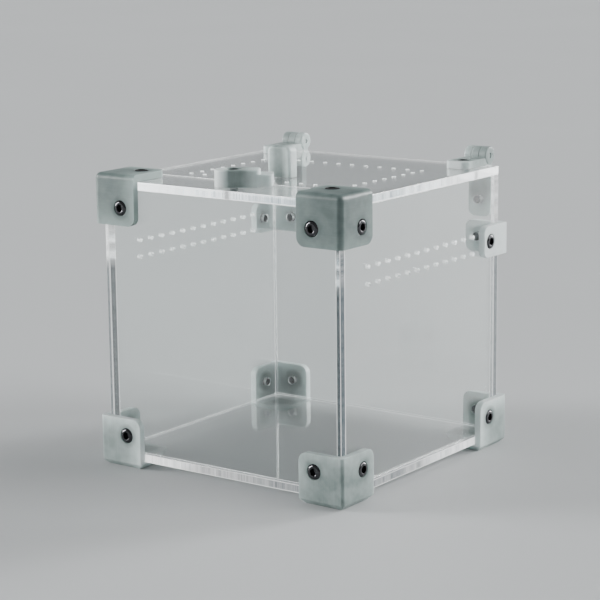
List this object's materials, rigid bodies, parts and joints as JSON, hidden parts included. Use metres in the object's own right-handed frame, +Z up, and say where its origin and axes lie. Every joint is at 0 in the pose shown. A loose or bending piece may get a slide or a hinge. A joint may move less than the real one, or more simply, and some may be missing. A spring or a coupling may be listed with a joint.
{
  "type": "terrarium",
  "caption": "Clear cube terrarium of acrylic sheets joined by printed corner brackets and screws, with vent holes, a hinged lid and a turn latch.",
  "frame": {"origin": "middle of the footprint, on the surface that the feet stand on", "axes": "+X to the right seen from the front, +Y to the back where the hinges are, +Z up"},
  "size_m": [0.105, 0.1072, 0.1135],
  "materials": {
    "clear_acrylic": "polished clear sheet",
    "printed_plastic": "translucent white 3D print with fine layer lines",
    "screw_steel": "dark nickel plated"
  },
  "bodies": {
    "enclosure": {"base_panel": "clear_acrylic", "front_panel": "clear_acrylic", "back_panel": "clear_acrylic", "left_panel": "clear_acrylic", "right_panel": "clear_acrylic", "top_front_strip": "clear_acrylic", "bottom_bracket_front_left": "printed_plastic", "bottom_bracket_front_right": "printed_plastic", "bottom_bracket_rear_left": "printed_plastic", "bottom_bracket_rear_right": "printed_plastic", "top_cap_left": "printed_plastic", "top_cap_right": "printed_plastic", "rear_bracket_left": "printed_plastic", "rear_bracket_right": "printed_plastic", "bottom_screws_front_left": "screw_steel", "bottom_screws_front_right": "screw_steel", "bottom_screws_rear_left": "screw_steel", "bottom_screws_rear_right": "screw_steel", "top_cap_screws_left": "screw_steel", "top_cap_screws_right": "screw_steel", "rear_bracket_screws_left": "screw_steel", "rear_bracket_screws_right": "screw_steel", "hinge_wall_screw_left": "screw_steel", "hinge_wall_screw_right": "screw_steel", "hinge_wall_leaf_left": "printed_plastic", "hinge_wall_leaf_right": "printed_plastic", "hinge_pin_left": "printed_plastic", "hinge_pin_right": "printed_plastic", "latch_pivot_screw": "screw_steel"},
    "lid": {"lid_panel": "clear_acrylic", "lid_grip": "printed_plastic", "lid_grip_screw": "screw_steel", "hinge_lid_leaf_left": "printed_plastic", "hinge_lid_leaf_right": "printed_plastic", "hinge_lid_screw_left": "screw_steel", "hinge_lid_screw_right": "screw_steel"},
    "latch": {"latch_lever": "printed_plastic"}
  },
  "joints": [
    {"name": "lid_hinge", "type": "hinge", "parent": "enclosure", "child": "lid", "pos_m": [0, 0.05038, 0.10575], "axis": [-1, 0, 0], "range_deg": [0, 240]},
    {"name": "latch_turn", "type": "hinge", "parent": "enclosure", "child": "latch", "pos_m": [0, -0.04152, 0.1025], "axis": [0, 0, 1], "range_deg": [-34, 56]}
  ]
}
